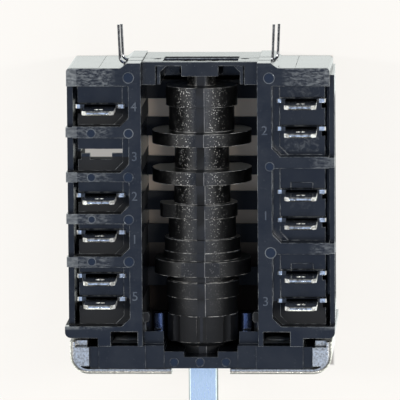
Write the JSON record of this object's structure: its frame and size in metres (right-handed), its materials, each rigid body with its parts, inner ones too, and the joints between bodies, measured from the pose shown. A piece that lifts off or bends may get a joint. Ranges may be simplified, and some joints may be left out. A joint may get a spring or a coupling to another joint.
{
  "type": "rotary cam switch",
  "caption": "Open-frame rotary cam switch for an oven, with a D-shaped shaft, a fixing plate and push-on tab terminals down both sides.",
  "frame": {"origin": "on the shaft's axis at the fixing plate's outer face, midway between the screw holes", "axes": "+Y along the shaft from the knob to the rear end, +Z towards the terminal tabs, X across; it lies on its back"},
  "size_m": [0.0542, 0.093, 0.0295],
  "materials": {
    "camshaft_plastic": "gloss",
    "shaft_steel": "satin, zinc plated",
    "plate_steel": "satin, zinc plated",
    "housing_plastic": "matte",
    "bridge_plastic": "satin",
    "bank_plastic": "satin",
    "cover_plastic": "satin",
    "wire_steel": "dark",
    "terminal_brass": "bright tinned",
    "contact_silver": "bright",
    "carrier_plastic": "matte",
    "bridge_copper": "bright copper",
    "spring_steel": "bright",
    "roller_steel": "polished"
  },
  "bodies": {
    "housing": {"carrier_spring_1": "spring_steel", "carrier_spring_2": "spring_steel", "carrier_spring_3": "spring_steel", "carrier_spring_4": "spring_steel", "carrier_spring_5": "spring_steel", "carrier_spring_6": "spring_steel", "front_housing": "housing_plastic", "front_plate": "plate_steel", "front_retaining_wire": "wire_steel", "left_contact_bank": "bank_plastic", "left_detent_spring": "spring_steel", "left_fixed_contact_tips": "contact_silver", "left_side_cover": "cover_plastic", "left_terminal_1": "terminal_brass", "left_terminal_3": "terminal_brass", "left_terminal_4": "terminal_brass", "left_terminal_5": "terminal_brass", "left_terminal_6": "terminal_brass", "rear_bridge": "bridge_plastic", "rear_retaining_wire": "wire_steel", "right_contact_bank": "bank_plastic", "right_detent_spring": "spring_steel", "right_fixed_contact_tips": "contact_silver", "right_side_cover": "cover_plastic", "right_terminal_1": "terminal_brass", "right_terminal_2": "terminal_brass", "right_terminal_3": "terminal_brass", "right_terminal_4": "terminal_brass", "right_terminal_5": "terminal_brass", "right_terminal_6": "terminal_brass"},
    "selector": {"camshaft": "camshaft_plastic", "shaft": "shaft_steel"},
    "carrier_1": {"contact_bridge_1": "bridge_copper", "contact_carrier_1": "carrier_plastic", "moving_contact_tips_1": "contact_silver"},
    "carrier_2": {"contact_bridge_2": "bridge_copper", "contact_carrier_2": "carrier_plastic", "moving_contact_tips_2": "contact_silver"},
    "carrier_3": {"contact_bridge_3": "bridge_copper", "contact_carrier_3": "carrier_plastic", "moving_contact_tips_3": "contact_silver"},
    "carrier_4": {"contact_bridge_4": "bridge_copper", "contact_carrier_4": "carrier_plastic", "moving_contact_tips_4": "contact_silver"},
    "carrier_5": {"contact_bridge_5": "bridge_copper", "contact_carrier_5": "carrier_plastic", "moving_contact_tips_5": "contact_silver"},
    "carrier_6": {"contact_bridge_6": "bridge_copper", "contact_carrier_6": "carrier_plastic", "moving_contact_tips_6": "contact_silver"},
    "left_roller": {"left_detent_roller": "roller_steel"},
    "right_roller": {"right_detent_roller": "roller_steel"}
  },
  "joints": [
    {"name": "selector_turn", "type": "hinge", "parent": "housing", "child": "selector", "pos_m": [0, 0, 0], "axis": [0, 1, 0], "range_deg": [0, 315]},
    {"name": "carrier_1_lift", "type": "slide", "parent": "housing", "child": "carrier_1", "axis": [0, 0, -1], "range_m": [-0.00115, 0], "deforming": ["carrier_spring_1"]},
    {"name": "carrier_2_lift", "type": "slide", "parent": "housing", "child": "carrier_2", "axis": [0, 0, -1], "range_m": [-0.00115, 0], "deforming": ["carrier_spring_2"]},
    {"name": "carrier_3_lift", "type": "slide", "parent": "housing", "child": "carrier_3", "axis": [0, 0, -1], "range_m": [-0.00115, 0], "deforming": ["carrier_spring_3"]},
    {"name": "carrier_4_lift", "type": "slide", "parent": "housing", "child": "carrier_4", "axis": [0, 0, -1], "range_m": [-0.00115, 0], "deforming": ["carrier_spring_4"]},
    {"name": "carrier_5_lift", "type": "slide", "parent": "housing", "child": "carrier_5", "axis": [0, 0, -1], "range_m": [-0.00115, 0], "deforming": ["carrier_spring_5"]},
    {"name": "carrier_6_lift", "type": "slide", "parent": "housing", "child": "carrier_6", "axis": [0, 0, -1], "range_m": [-0.00115, 0], "deforming": ["carrier_spring_6"]},
    {"name": "left_roller_ride", "type": "slide", "parent": "housing", "child": "left_roller", "axis": [-1, 0, 0], "range_m": [-0.00035, 0]},
    {"name": "right_roller_ride", "type": "slide", "parent": "housing", "child": "right_roller", "axis": [1, 0, 0], "range_m": [-0.00035, 0]}
  ]
}
